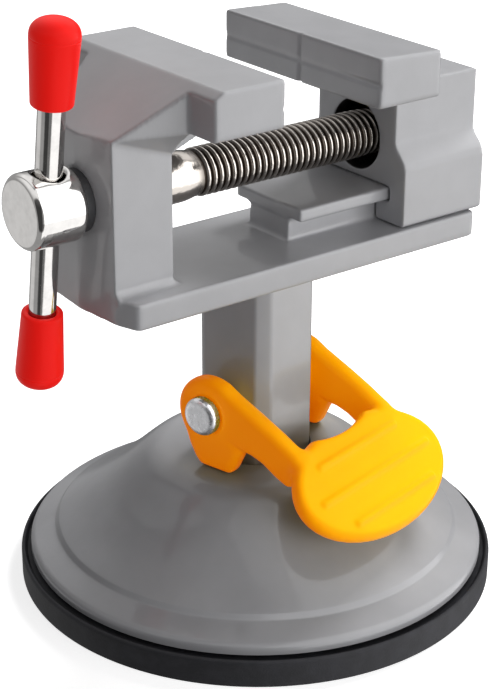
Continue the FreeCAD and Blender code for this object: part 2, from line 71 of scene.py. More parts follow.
# ---------------------------------------------------------------- places taken from the frame
PAD_LOW, PAD_HIGH = corners_of("suction_pad")
DOME_LOW, DOME_HIGH = corners_of("base_dome")
POST_LOW, POST_HIGH = corners_of("post")
SCREW_LOW, SCREW_HIGH = corners_of("lead_screw")
HEAD_LOW, HEAD_HIGH = corners_of("screw_head")
NUT_LOW, NUT_HIGH = corners_of("jaw_nut")
PIN_Z = joint_named("lever_swing")["pos_m"][2] / MM
PIN_AXIS = -Vector(joint_named("lever_swing")["axis"])
SCREW_Z = joint_named("screw_turn")["pos_m"][2] / MM
BAR_AXIS = Vector(joint_named("bar_slide")["axis"])
BAR_MIDDLE = sum(corners_of("tommy_bar")) / 2

# ---------------------------------------------------------------- camera
CAMERA_AZIMUTH = math.radians(-37.78)
CAMERA_ELEVATION = math.radians(23.964)
CAMERA_ROLL = math.radians(0.316)
CAMERA_DISTANCE = 313.0
CAMERA_TARGET = Vector((-1.5, 0.0, 41.75))
CAMERA_LENS = 96.8
CAMERA_SHIFT = (-0.0066, -0.0022)

# ---------------------------------------------------------------- studio
AMBIENT = 0.17
PANEL = 2.4                    # the big front panel, as reflections see it
CEILING = 0.8
FLOOR_GLOW = 0.75
COAT = 0.5                     # weight of the enamel's clear gloss
TOP_PLACE = (431, 115, 461)
TOP_POWER = 3.7
FRONT_PLACE = (154, -574, 133)
FRONT_POWER = 2.0

# ---------------------------------------------------------------- post
POST_HALF = 7.5                # a square tube with bevelled corners, square to the lever's pin
POST_BEVEL = 2.0
POST_EDGE = 0.5                # softening of the upright edges
SPIGOT_R = 5.25
STUD_R = 6.3
LEDGE_Z = 42.0
OPENING_R = 9.5                # round opening in the dome

# ---------------------------------------------------------------- lever
ARM_IN = 10.3
ARM_OUT = 13.7
ARM_ROUND = 1.3                # rounding of the arms' rims
SWELL = 0.45                   # the moulding's outlines stand out this much, between its round rims
EYE_R = 5.8
PIN_R = 2.05
PIN_HEAD_R = 3.3
THUMB_HALF = 18.1
THUMB_HALF_LENGTH = 10.0
THUMB_AHEAD = 25.1             # centre of the plate's top, ahead of the pin
THUMB_DROP = 7.7               # and below it
THUMB_SLOPE = math.radians(42.0)
THUMB_THICK = 3.0
GAP_FLOOR = -8.2               # where the gap between the arms ends, down the plate
GAP_BOW = 0.022                # its end is bowed
LEVER_CELL = 0.25              # grid of the lever's distance field

# ---------------------------------------------------------------- bar, caps and head
BAR_R = 2.15
BAR_HALF = 29.3
CAP_MOUTH = 17.4               # inner end of each cap from the middle of the bar
CAP_WIDEST = 28.0
CAP_END = 30.8
CAP_MOUTH_R = 3.25
CAP_R = 3.85
HEAD_HOLE_R = 2.5
JAW_BORE_R = 6.0               # radius of the moving jaw's bore, inside which painted shade darkens it


# ================================================================ paths and turned shapes
def rounded_path(points, steps=5):
    """Open path through (a, b, cut) corners. A parabola replaces each corner, from `cut` before it."""
    path = [np.array(points[0][:2], float)]
    for before, corner, after in zip(points, points[1:], points[2:]):
        middle = np.array(corner[:2], float)
        back = np.array(before[:2], float) - middle
        ahead = np.array(after[:2], float) - middle
        cut = min(corner[2], 0.5 * np.linalg.norm(back), 0.5 * np.linalg.norm(ahead))
        start = middle + back / np.linalg.norm(back) * cut
        end = middle + ahead / np.linalg.norm(ahead) * cut
        if cut <= 0:
            path.append(middle)
            continue
        for t in np.linspace(0, 1, steps + 1):
            path.append((1 - t) ** 2 * start + 2 * t * (1 - t) * middle + t * t * end)
    path.append(np.array(points[-1][:2], float))
    return np.array(path)


def resampled(path, spacing):
    """The same open path with points no further apart than `spacing`."""
    out = [path[0]]
    for start, end in zip(path, path[1:]):
        count = max(1, int(math.ceil(np.linalg.norm(end - start) / spacing)))
        for step in range(1, count + 1):
            out.append(start + (end - start) * step / count)
    return np.array(out)


def turned(path, segments, closed=False):
    """Vertices and quads of a path of (radius, height) turned about Z."""
    turns = np.arange(segments) * 2 * math.pi / segments
    rings = [np.stack([radius * np.cos(turns), radius * np.sin(turns),
                       np.full(segments, height)], axis=1) for radius, height in path]
    faces = []
    last = len(path) if closed else len(path) - 1
    for row in range(last):
        low, high = row * segments, (row + 1) % len(path) * segments
        for step in range(segments):
            after = (step + 1) % segments
            faces.append((low + step, low + after, high + after, high + step))
    return np.concatenate(rings), faces


def placed(vertices, origin, axis, side=None):
    """Move vertices built about Z onto an axis. `side` is where their X goes."""
    up = Vector(axis).normalized()
    across = Vector(side) if side is not None else up.orthogonal()
    across = (across - up * across.dot(up)).normalized()
    basis = np.array([across, up.cross(across), up])
    return vertices @ basis + np.array(origin)


def turned_piece(name, outline, origin, axis, material, body, stands_for, segments=96,
                 spacing=0.5, crease=50):
    """A turned piece from rounded corners (radius, height, cut) along an axis."""
    vertices, faces = turned(resampled(rounded_path(outline), spacing), segments)
    return new_piece(name, placed(vertices, origin, axis), faces, material, body, stands_for,
                     crease=crease)


# ================================================================ distance fields
def outline_distance(corners, u, v):
    """Signed distance to a closed outline, negative inside."""
    nearest = np.full(np.broadcast(u, v).shape, 1e9)
    inside = np.zeros(nearest.shape, bool)
    for (au, av), (bu, bv) in zip(corners, corners[1:] + corners[:1]):
        run, rise = bu - au, bv - av
        share = np.clip(((u - au) * run + (v - av) * rise) / (run * run + rise * rise), 0, 1)
        nearest = np.minimum(nearest, (u - au - share * run) ** 2 + (v - av - share * rise) ** 2)
        if rise:
            inside ^= ((av > v) != (bv > v)) & (u < au + (v - av) * run / rise)
    return np.where(inside, -1, 1) * np.sqrt(nearest)


def slab(outline, across, half, rounding):
    """An outline's distance pushed through a thickness, with rounded rims."""
    a = outline + rounding
    b = np.abs(across) - half + rounding
    return np.minimum(np.maximum(a, b), 0) + np.hypot(np.maximum(a, 0), np.maximum(b, 0)) - rounding


def fused(a, b, blend):
    """Union with a soft fillet of about `blend`."""
    share = np.clip(0.5 + 0.5 * (b - a) / blend, 0, 1)
    return b + (a - b) * share - blend * share * (1 - share)


def blurred(field, sigma):
    """Gaussian blur, which softens every edge of the shape. `sigma` is in cells."""
    reach = int(math.ceil(3 * sigma))
    weights = np.exp(-0.5 * (np.arange(-reach, reach + 1) / sigma) ** 2)
    weights /= weights.sum()
    for axis in range(3):
        field = sum(weight * np.roll(field, shift, axis)
                    for weight, shift in zip(weights, range(-reach, reach + 1)))
    return field


def sampled(grid, points):
    """Values of a grid at fractional places, in cells."""
    base = np.clip(np.floor(points).astype(int), 0, np.array(grid.shape[:3]) - 2)
    part = points - base
    total = 0
    for corner in np.ndindex(2, 2, 2):
        weight = np.prod(np.where(corner, part, 1 - part), axis=1)
        total = total + weight * grid[tuple((base + corner).T)]
    return total


def surface_net(field, low, cell):
    """Vertices and quads on the zero level of a grid of distances, negative inside."""
    inside = field < 0
    cells = np.array(field.shape) - 1
    total = np.zeros((int(np.prod(cells)), 3))
    count = np.zeros(len(total))
    quads = []
    for axis in range(3):
        first = field.take(range(field.shape[axis] - 1), axis)
        second = field.take(range(1, field.shape[axis]), axis)
        crossed = (first < 0) != (second < 0)
        index = np.argwhere(crossed)
        point = index.astype(float)
        point[:, axis] += (first / np.where(crossed, first - second, 1))[crossed]
        others = [other for other in range(3) if other != axis]
        loop = []
        for step in ((0, 0), (1, 0), (1, 1), (0, 1)):
            around = index.copy()
            around[:, others[0]] -= step[0]
            around[:, others[1]] -= step[1]
            flat = np.ravel_multi_index(tuple(around.T), tuple(cells))
            for part in range(3):
                total[:, part] += np.bincount(flat, point[:, part], len(total))
            count += np.bincount(flat, minlength=len(total))
            loop.append(flat)
        loop = np.stack(loop, axis=1)
        outward = inside.take(range(field.shape[axis] - 1), axis)[crossed]
        if axis == 1:
            outward = ~outward
        quads.append(np.where(outward[:, None], loop, loop[:, ::-1]))
    quads = np.concatenate(quads)
    used = np.flatnonzero(count)
    number = np.full(len(total), -1)
    number[used] = np.arange(len(used))
    vertices = total[used] / count[used, None]
    slopes = np.stack(np.gradient(field), axis=-1)
    for _ in range(2):
        slope = np.stack([sampled(slopes[..., part], vertices) for part in range(3)], axis=1)
        slope_squared = np.maximum((slope ** 2).sum(axis=1), 1e-9)
        vertices = vertices - slope * (sampled(field, vertices) / slope_squared)[:, None]
    normals = np.stack([sampled(slopes[..., part], vertices) for part in range(3)], axis=1)
    normals /= np.maximum(np.linalg.norm(normals, axis=1), 1e-9)[:, None]
    return vertices * cell + np.array(low), number[quads], normals


# ================================================================ pieces
def new_piece(name, vertices, faces, material, body, stands_for=(), crease=None, normals=None):
    """A mesh from millimetre vertices that rides on a body and stands for CAD nodes."""
    mesh = bpy.data.meshes.new(name)
    mesh.from_pydata((np.asarray(vertices) * MM).tolist(), [], [tuple(face) for face in faces])
    if normals is None:
        shaped = bmesh.new()
        shaped.from_mesh(mesh)
        bmesh.ops.remove_doubles(shaped, verts=shaped.verts, dist=1e-7)
        bmesh.ops.recalc_face_normals(shaped, faces=shaped.faces)
        shaped.to_mesh(mesh)
        shaped.free()
    mesh.polygons.foreach_set("use_smooth", [True] * len(mesh.polygons))
    if crease is not None:
        mesh.set_sharp_from_angle(angle=math.radians(crease))
    if normals is not None:
        mesh.normals_split_custom_set_from_vertices(normals.tolist())
    mesh.materials.append(material)
    piece = bpy.data.objects.new(name, mesh)
    bpy.context.scene.collection.objects.link(piece)
    if body is not None:
        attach(piece, body)
    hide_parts(*stands_for)
    return piece


def cast_copy(name, node, cell, passes, material, body):
    """A casting: the CAD node's shape, remeshed evenly and relaxed so that its edges go soft."""
    mesh = frame["nodes"][node].data.copy()
    piece = bpy.data.objects.new(name, mesh)
    bpy.context.scene.collection.objects.link(piece)
    remesh = piece.modifiers.new("remesh", "REMESH")
    remesh.mode = "VOXEL"
    remesh.voxel_size = cell * MM
    relax = piece.modifiers.new("relax", "SMOOTH")
    relax.factor = 0.5
    relax.iterations = passes
    graph = bpy.context.evaluated_depsgraph_get()
    final = bpy.data.meshes.new_from_object(piece.evaluated_get(graph))
    piece.modifiers.clear()
    piece.data = final
    final.polygons.foreach_set("use_smooth", [True] * len(final.polygons))
    final.materials.clear()
    final.materials.append(material)
    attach(piece, body)
    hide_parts(node)
    return piece


# ================================================================ materials
def new_material(name, **values):
    """A material with one Principled shader. Returns (material, tree, shader)."""
    material = bpy.data.materials.new(name)
    material.use_nodes = True
    tree = material.node_tree
    shader = tree.nodes["Principled BSDF"]
    for key, value in values.items():
        shader.inputs[key.replace("_", " ")].default_value = value
    return material, tree, shader


def add_node(tree, kind, links=(), **settings):
    """A node with its settings and inputs; `links` is (input name, output socket) pairs."""
    node = tree.nodes.new(kind)
    for key, value in settings.items():
        if hasattr(node, key):
            setattr(node, key, value)
        else:
            node.inputs[key.replace("_", " ")].default_value = value
    for name, socket in links:
        tree.links.new(socket, node.inputs[name])
    return node


def noise(tree, size, detail=3.0, roughness=0.55):
    """Noise whose lumps are about `size` millimetres across."""
    place = add_node(tree, "ShaderNodeTexCoord")
    return add_node(tree, "ShaderNodeTexNoise", [("Vector", place.outputs["Object"])],
                    Scale=1 / (size * MM), Detail=detail, Roughness=roughness)


def ramp(tree, socket, *stops):
    """Map a value through (place, value) stops."""
    node = add_node(tree, "ShaderNodeMapRange", [("Value", socket)])
    (low, low_value), (high, high_value) = stops
    node.inputs["From Min"].default_value = low
    node.inputs["From Max"].default_value = high
    node.inputs["To Min"].default_value = low_value
    node.inputs["To Max"].default_value = high_value
    return node.outputs["Result"]


def mixed(tree, factor, first, second):
    """Mix two colours by a socket or a number."""
    node = add_node(tree, "ShaderNodeMix", data_type="RGBA")
    for key, value in ((0, factor), (6, first), (7, second)):
        if hasattr(value, "links"):
            tree.links.new(value, node.inputs[key])
        else:
            node.inputs[key].default_value = value
    return node.outputs[2]


def bump(tree, height, depth, normal=None):
    """Bump whose full height is `depth` millimetres."""
    node = add_node(tree, "ShaderNodeBump", [("Height", height)], Distance=depth * MM, Strength=1.0)
    if normal is not None:
        tree.links.new(normal, node.inputs["Normal"])
    return node.outputs["Normal"]


def from_screw_axis(tree):
    """Distance of the shaded point from the clamping screw's axis, in metres."""
    place = add_node(tree, "ShaderNodeTexCoord")
    axis = add_node(tree, "ShaderNodeVectorMath", [(0, place.outputs["Object"])], operation="SUBTRACT")
    axis.inputs[1].default_value = (0, 0, SCREW_Z * MM)
    flat = add_node(tree, "ShaderNodeVectorMath", [(0, axis.outputs[0])], operation="MULTIPLY")
    flat.inputs[1].default_value = (0, 1, 1)
    radius = add_node(tree, "ShaderNodeVectorMath", [(0, flat.outputs[0])], operation="LENGTH")
    return radius.outputs["Value"]


def enamel(name, tint, gloss=0.4, shaded_bore=None):
    """Grey enamel under a hard gloss: faint mottling and a little orange peel.

    Within the given radius of the screw's axis the colour is painted near-black and the gloss coat is taken away:
    painted shade inside the bore.
    """
    material, tree, shader = new_material(name, Roughness=gloss, Coat_Weight=COAT, Coat_Roughness=0.09)
    mottle = ramp(tree, noise(tree, 9.0).outputs["Fac"], (0.35, 0.0), (0.65, 1.0))
    dark = tuple(channel * 0.96 for channel in tint) + (1,)
    light = tuple(min(1, channel * 1.04) for channel in tint) + (1,)
    color = mixed(tree, mottle, dark, light)
    if shaded_bore:
        # painted shade: near-black colour and no gloss coat inside the bore's radius
        outside_painted_shade = ramp(tree, from_screw_axis(tree), (shaded_bore * MM, 0.0), ((shaded_bore + 0.15) * MM, 1.0))
        color = mixed(tree, outside_painted_shade, (0.012, 0.011, 0.010, 1), color)
        tree.links.new(math_node(tree, "MULTIPLY", outside_painted_shade, COAT), shader.inputs["Coat Weight"])
    tree.links.new(color, shader.inputs["Base Color"])
    peel = noise(tree, 1.1, detail=1.0)
    normal = bump(tree, peel.outputs["Fac"], 0.010)
    tree.links.new(normal, shader.inputs["Normal"])
    tree.links.new(normal, shader.inputs["Coat Normal"])
    return material


def plastic(name, tint, painted_glow_tint, painted_glow, gloss, depth=0.01):
    """Saturated moulded plastic with a little light scattered inside it, and a painted glow: an emission seen only
    by the camera that lifts its shaded sides.
    """
    material, tree, shader = new_material(name, Roughness=gloss, Specular_IOR_Level=0.12,
                                          Subsurface_Weight=0.2, Subsurface_Scale=0.6 * MM,
                                          Emission_Color=painted_glow_tint + (1,))
    # painted glow: camera-only emission stands in for light on the plastic's shaded parts
    seen = add_node(tree, "ShaderNodeLightPath").outputs["Is Camera Ray"]
    tree.links.new(math_node(tree, "MULTIPLY", seen, painted_glow), shader.inputs["Emission Strength"])
    cloud = ramp(tree, noise(tree, 12.0).outputs["Fac"], (0.3, 0.0), (0.7, 1.0))
    lean = tuple(channel * 0.96 for channel in tint) + (1,)
    tree.links.new(mixed(tree, cloud, lean, tint + (1,)), shader.inputs["Base Color"])
    shader.inputs["Subsurface Radius"].default_value = (1.0, 0.45, 0.1)
    grain = noise(tree, 0.7, detail=4.0)
    normal = bump(tree, grain.outputs["Fac"], depth)
    tree.links.new(normal, shader.inputs["Normal"])
    return material


def bright_metal(name, tint, gloss, dents=0.02, lump=2.5):
    """Plated steel with soft dents and fine streaks."""
    material, tree, shader = new_material(name, Metallic=1.0, Roughness=gloss)
    haze = ramp(tree, noise(tree, 1.6, detail=6.0).outputs["Fac"], (0.4, 0.0), (0.75, 1.0))
    dull = tuple(channel * 0.86 for channel in tint) + (1,)
    tree.links.new(mixed(tree, haze, tint + (1,), dull), shader.inputs["Base Color"])
    lumps = noise(tree, lump, detail=2.0)
    normal = bump(tree, lumps.outputs["Fac"], dents)
    tree.links.new(normal, shader.inputs["Normal"])
    streak = ramp(tree, noise(tree, 0.5, detail=6.0).outputs["Fac"], (0.3, gloss * 0.7), (0.7, gloss * 1.6))
    tree.links.new(streak, shader.inputs["Roughness"])
    return material


def thread_steel(name):
    """Steel that is bright on the crests and dark brown in the roots."""
    material, tree, shader = new_material(name, Metallic=1.0, Roughness=0.2)
    height = ramp(tree, from_screw_axis(tree), (3.6 * MM, 0.0), (3.99 * MM, 1.0))
    color = mixed(tree, height, (0.050, 0.038, 0.030, 1), (0.54, 0.50, 0.46, 1))
    tree.links.new(color, shader.inputs["Base Color"])
    tree.links.new(ramp(tree, height, (0.0, 0.4), (1.0, 0.13)), shader.inputs["Roughness"])
    grain = noise(tree, 0.8, detail=5.0)
    tree.links.new(bump(tree, grain.outputs["Fac"], 0.04), shader.inputs["Normal"])
    return material


def rubber(name):
    """Near-black rubber with a fine mould grain and a dusty bloom."""
    material, tree, shader = new_material(name, Roughness=0.62, Specular_IOR_Level=0.3)
    bloom = ramp(tree, noise(tree, 3.0, detail=6.0).outputs["Fac"], (0.4, 0.0), (0.75, 1.0))
    color = mixed(tree, bloom, (0.010, 0.010, 0.012, 1), (0.022, 0.022, 0.026, 1))
    tree.links.new(color, shader.inputs["Base Color"])
    grain = noise(tree, 0.35, detail=4.0)
    tree.links.new(bump(tree, grain.outputs["Fac"], 0.04), shader.inputs["Normal"])
    return material


def black_nylon(name):
    """Black nylon, slightly cloudy."""
    material, tree, shader = new_material(name, Roughness=0.5)
    cloud = ramp(tree, noise(tree, 2.0, detail=4.0).outputs["Fac"], (0.35, 0.0), (0.7, 1.0))
    color = mixed(tree, cloud, (0.026, 0.026, 0.028, 1), (0.042, 0.042, 0.045, 1))
    tree.links.new(color, shader.inputs["Base Color"])
    return material


# ================================================================ suction foot
def make_dome(material):
    rim = DOME_HIGH[0]
    top = DOME_HIGH[2]
    bore = OPENING_R
    outside = [(bore, top, 0), (16.4, top, 1.5), (18.6, top - 1.0, 1.2), (20.8, 20.1, 1.5),
               (24.8, 16.3, 3.0), (30.3, 12.1, 3.0), (34.5, 9.35, 0.15), (35.1, 8.5, 0.2),
               (38.9, 6.7, 0.7), (rim, 6.1, 0.5), (rim, DOME_LOW[2], 0)]
    inside = [(35.5, DOME_LOW[2], 0), (33.8, 6.4, 0.5), (19.5, 16.4, 0.5), (12.6, 16.4, 0),
              (12.6, 15.0, 0), (bore, 15.0, 0)]
    path = resampled(rounded_path(outside + inside), 0.6)
    vertices, faces = turned(path, 288, closed=True)
    return new_piece("dome_shell", vertices, faces, material, "base", ["base_dome"],
                     crease=40)


def make_pad(material):
    outer = PAD_HIGH[0]
    ring_top = 4.9
    groove = ring_top - 0.9
    outline = [(0, 7.0, 0), (11.0, 7.0, 1.0), (34.0, 1.6, 1.0), (36.5, 0.0, 0.4), (outer - 0.1, 0.0, 0.05),
               (outer, 0.1, 0.05), (outer, ring_top - 0.5, 0.5), (outer - 0.5, ring_top, 0.4),
               (outer - 1.0, groove, 0.2), (outer - 3.0, groove, 0.3), (outer - 3.6, ring_top, 0.3),
               (34.0, ring_top, 0.5), (33.0, 4.2, 0.5), (12.0, 9.1, 1.0), (12.0, PAD_HIGH[2], 0),
               (STUD_R, PAD_HIGH[2], 0), (STUD_R, 10.5, 0), (9.5, 10.5, 0), (9.5, 9.0, 0), (0, 9.0, 0)]
    vertices, faces = turned(resampled(rounded_path(outline), 1.0), 240)
    piece = new_piece("rubber_pad", vertices, faces, material, None, ["suction_pad"],
                      crease=50)
    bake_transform(piece)
    return piece


# ================================================================ lever
def arm_field(ahead, up, across):
    """Both arms: an eye on the pin, a foot below it and a beam ahead."""
    foot = [(6.9, -4.9), (5.9, -7.0), (5.0, -8.9), (4.0, -9.9), (-0.9, -9.9), (-2.3, -8.5), (-3.6, -6.2),
            (-4.9, -2.4), (0, 0)]
    beam = [(1.2, 5.2), (2.8, 5.1), (5.9, 3.7), (10.1, 1.8), (14.2, -0.2), (18.4, -2.5), (20.4, -6.0),
            (16.8, -8.0), (14.5, -7.0), (11.8, -5.4), (9.3, -4.6), (7.8, -4.5), (6.5, -4.3), (0, -3.0)]
    eye = np.hypot(ahead, up) - EYE_R
    outline = fused(eye, outline_distance(beam, ahead, up), 1.0)
    outline = fused(outline, outline_distance(foot, ahead, up), 0.6)
    above_dome = -9.95 - up
    outline = np.maximum(outline - SWELL, above_dome)
    middle = (ARM_IN + ARM_OUT) / 2
    return slab(outline, np.abs(across) - middle, (ARM_OUT - ARM_IN) / 2, ARM_ROUND)


def thumb_field(ahead, up, across):
    """The oval plate and its ribs, with the distance down the plate that the cut between the arms uses."""
    slope_cos, slope_sin = math.cos(THUMB_SLOPE), math.sin(THUMB_SLOPE)
    ahead, up = ahead - THUMB_AHEAD, up + THUMB_DROP
    down = ahead * slope_cos - up * slope_sin
    out = ahead * slope_sin + up * slope_cos
    count = 40
    oval = [(THUMB_HALF * math.cos(2 * math.pi * step / count),
             THUMB_HALF_LENGTH * math.sin(2 * math.pi * step / count)) for step in range(count)]
    outline = outline_distance(oval, across + 0 * down, down + 0 * across) - SWELL
    plate = slab(outline, out + THUMB_THICK / 2, THUMB_THICK / 2, 1.3)
    for half_length, place in ((10.5, -5.0), (14.6, 0.4), (10.7, 5.8)):
        reach = np.maximum(np.abs(across) - half_length, 0)
        rib = np.sqrt(reach ** 2 + (down - place) ** 2 + (out + 0.05) ** 2) - 0.66
        plate = fused(plate, rib, 0.35)
    return plate, down


def make_lever(material):
    low = np.array([-20.0, -37.5, -22.5])
    high = np.array([20.0, 9.0, 9.0])
    across, ahead, up = [np.arange(start, end, LEVER_CELL) for start, end in zip(low, high)]
    across = across[:, None, None]
    ahead = -ahead[None, :, None]
    up = up[None, None, :]
    arms = arm_field(ahead, up, across)
    plate, down = thumb_field(ahead, up, across)
    floor_of_gap = GAP_FLOOR - GAP_BOW * across ** 2
    gap = -fused(ARM_IN - np.abs(across), floor_of_gap - down, 5.0)
    plate = np.maximum(plate, -gap)
    field = fused(arms, plate, 1.6)
    hub = slab(np.hypot(ahead, up) - 3.6, np.abs(across) - 9.3, 1.6, 0.2)
    field = np.minimum(field, hub)
    field = blurred(field, 1.1)
    recess = slab(np.hypot(ahead, up) - PIN_HEAD_R - 0.4, np.abs(across) - ARM_OUT, 0.2, 0.15)
    field = np.maximum(field, -recess)
    field = np.maximum(field, PIN_R - np.hypot(ahead, up))
    vertices, faces, normals = surface_net(field, low, LEVER_CELL)
    vertices = placed(vertices, (0, 0, PIN_Z), (0, 0, 1), side=PIN_AXIS)
    normals = placed(normals, (0, 0, 0), (0, 0, 1), side=PIN_AXIS)
    return new_piece("lever_moulding", vertices, faces, material, "lever",
                     ["suction_lever"], normals=normals)


# ================================================================ post and pin
def post_loop(inset):
    """Closed outline of the post, a square with bevelled corners, drawn in by `inset`."""
    side = POST_HALF - inset
    bevel = (2 * POST_HALF - POST_BEVEL) / math.sqrt(2) - inset
    short = math.sqrt(2) * bevel - side
    corners = []
    pair = [(side, -short), (side, short)]
    for _ in range(4):
        corners.extend(pair)
        pair = [(-y, x) for x, y in pair]
    start = (side, 0)
    path = rounded_path([start] + [(x, y, POST_EDGE) for x, y in corners[1:] + corners[:1]] + [start], 6)
    return path


def loop_at(loop, height):
    return np.column_stack([loop, np.full(len(loop), height)])


def make_post(material):
    low, top = POST_LOW[2], POST_HIGH[2]
    edge = 0.5
    around = post_loop(0)[:-1]
    turns = np.arctan2(around[:, 1], around[:, 0])

    def bore(radius, height):
        return loop_at(np.column_stack([radius * np.cos(turns), radius * np.sin(turns)]), height)

    rings = [loop_at(around, height) for height in np.linspace(low, top - edge, 40)]
    for step in range(1, 6):
        turn = math.pi / 2 * step / 5
        inset = edge * (1 - math.cos(turn))
        rings.append(loop_at(post_loop(inset)[:-1], top - edge + edge * math.sin(turn)))
    rings += [bore(SPIGOT_R, top), bore(SPIGOT_R, LEDGE_Z), bore(STUD_R, LEDGE_Z), bore(STUD_R, low)]
    count = len(around)
    faces = []
    for row in range(len(rings)):
        this, following = row * count, (row + 1) % len(rings) * count
        for step in range(count):
            after = (step + 1) % count
            faces.append((this + step, this + after, following + after, following + step))
    vertices = placed(np.concatenate(rings), (0, 0, 0), (0, 0, 1), side=PIN_AXIS)
    return new_piece("post_tube", vertices, faces, material, "post", ["post"], crease=35)


def make_pin(material):
    under = -ARM_OUT - 0.1
    outline = [(0, under - 1.8, 0), (PIN_HEAD_R - 0.7, under - 1.8, 0.4), (PIN_HEAD_R, under - 1.3, 0.5),
               (PIN_HEAD_R, under, 0.1), (2.0, under, 0), (2.0, ARM_OUT + 1.3, 0.3), (0, ARM_OUT + 1.3, 0)]
    return turned_piece("pivot_pin", outline, (0, 0, PIN_Z), PIN_AXIS, material, "post",
                        ["lever_pin"], segments=128, spacing=0.3)


# ================================================================ head, bar and caps
def make_head(material):
    """The screw's head, with a bevelled face and a cross hole that is loose round the bar."""
    cell = 0.16
    front, rear = HEAD_LOW[0], HEAD_HIGH[0]
    radius = HEAD_HIGH[1]
    low = np.array([front - 1, -radius - 1, -radius - 1])
    high = np.array([rear + 1, radius + 1, radius + 1])
    x, y, z = np.meshgrid(*[np.arange(a, b, cell) for a, b in zip(low, high)], indexing="ij", sparse=True)
    distance = np.hypot(y, z)
    body = slab(distance - radius, x - (front + rear) / 2, (rear - front) / 2, 0.25)
    bevel = ((distance - radius + 0.8) - (x - front)) / math.sqrt(2)
    body = -fused(-body, -bevel, 0.25)
    rear_round = 0.9
    behind = np.maximum(x - (rear - rear_round), 0)
    outward = np.maximum(distance - (radius - rear_round), 0)
    body = np.maximum(body, np.hypot(behind, outward) - rear_round)
    side = Vector((0, BAR_AXIS.z, -BAR_AXIS.y))
    aside = np.hypot(x - BAR_MIDDLE[0], y * side.y + z * side.z)
    along = np.abs(y * BAR_AXIS.y + z * BAR_AXIS.z)
    mouth = np.clip(along - radius + 0.75, 0, 1)
    field = -fused(-body, aside - HEAD_HOLE_R - 0.55 * mouth, 0.3)
    field = blurred(field, 0.7)
    vertices, faces, normals = surface_net(field, low, cell)
    return new_piece("knob", vertices + np.array([0, 0, SCREW_Z]), faces, material, "screw",
                     ["screw_head"], normals=normals)


def make_bar(material):
    outline = [(0, -BAR_HALF, 0), (BAR_R, -BAR_HALF, 0.4), (BAR_R, BAR_HALF, 0.4), (0, BAR_HALF, 0)]
    return turned_piece("bar_rod", outline, BAR_MIDDLE, BAR_AXIS, material, "bar", ["tommy_bar"])


def make_cap(name, node, side, material):
    """A dipped bulb: narrow at its mouth, with a faint parting line where it is widest."""
    outline = [(BAR_R + 0.02, CAP_MOUTH + 1.5, 0), (BAR_R + 0.02, CAP_MOUTH + 0.3, 0.2),
               (BAR_R + 0.3, CAP_MOUTH, 0.2), (CAP_MOUTH_R, CAP_MOUTH, 0.45),
               (CAP_R, CAP_WIDEST - 0.14, 0.05), (CAP_R - 0.06, CAP_WIDEST, 0.05),
               (CAP_R, CAP_WIDEST + 0.14, 0.05)]
    rise = CAP_END - CAP_WIDEST - 0.14
    steps = 10
    for step in range(1, steps):
        turn = math.pi / 2 * step / steps
        outline.append((CAP_R * math.cos(turn) ** 0.85,
                        CAP_WIDEST + 0.14 + rise * math.sin(turn) ** 0.85, 0.2))
    outline.append((0, CAP_END, 0))
    return turned_piece(name, outline, BAR_MIDDLE, BAR_AXIS * side, material, "bar",
                        [node], spacing=0.4, crease=60)


# ================================================================ clamping screw
def make_screw(material):
    """Shank, collar and a right-hand thread."""
    pitch = 1.25
    crest, root = 4.0, 3.2
    front, taper, start, end = -23.25, -15.9, -13.6, SCREW_HIGH[0]
    collar = 4.15
    around = 96
    per_pitch = 16
    outline = [(0.0, SCREW_LOW[0], 0), (3.2, SCREW_LOW[0], 0), (3.2, front, 0), (collar, front, 0.35),
               (collar, taper, 1.0), (3.7, start, 0.2)]
    turns = np.arange(around) * 2 * math.pi / around
    xs = np.arange(start, end, pitch / per_pitch)
    grid_x = xs[:, None] + 0 * turns[None, :]
    phase = (grid_x / pitch - turns[None, :] / (2 * math.pi)) % 1
    ridge = np.clip(1.28 - 2.56 * np.abs(phase - 0.5), 0, 1)
    fade = np.clip((grid_x - start) / (0.7 * pitch), 0.0, 1)
    worn = np.clip((end - grid_x) / (1.2 * pitch), 0.2, 1)
    radius = root + (crest - root) * ridge * worn
    radius = radius * fade + 3.7 * (1 - fade)
    rings = [np.stack([np.full(around, x), r * np.cos(turns), r * np.sin(turns)], axis=1)
             for r, x in resampled(rounded_path(outline), 0.4)]
    rings += [np.stack([grid_x[row], radius[row] * np.cos(turns), radius[row] * np.sin(turns)], axis=1)
              for row in range(1, len(xs))]
    rings += [np.stack([np.full(around, end), r * np.cos(turns), r * np.sin(turns)], axis=1)
              for r in (root - 0.5, 0.0)]
    faces = []
    for row in range(len(rings) - 1):
        low, high = row * around, (row + 1) * around
        for step in range(around):
            after = (step + 1) % around
            faces.append((low + step, low + after, high + after, high + step))
    return new_piece("clamping_screw", np.concatenate(rings) + np.array([0, 0, SCREW_Z]), faces, material,
                     "screw", ["lead_screw"], crease=70)


# ================================================================ stage
def make_camera():
    back = Vector((math.sin(CAMERA_AZIMUTH) * math.cos(CAMERA_ELEVATION),
                   -math.cos(CAMERA_AZIMUTH) * math.cos(CAMERA_ELEVATION), math.sin(CAMERA_ELEVATION)))
    right = Vector((0, 0, 1)).cross(back).normalized()
    up = back.cross(right)
    turned_right = right * math.cos(CAMERA_ROLL) + up * math.sin(CAMERA_ROLL)
    turned_up = back.cross(turned_right)
    data = bpy.data.cameras.new("camera")
    data.lens = CAMERA_LENS
    data.sensor_width = 36.0
    data.shift_x, data.shift_y = CAMERA_SHIFT
    data.clip_start = 0.01
    camera = bpy.data.objects.new("camera", data)
    rotation = Matrix((turned_right, turned_up, back)).transposed().to_4x4()
    camera.matrix_world = Matrix.Translation((CAMERA_TARGET + back * CAMERA_DISTANCE) * MM) @ rotation
    bpy.context.scene.collection.objects.link(camera)
    bpy.context.scene.camera = camera


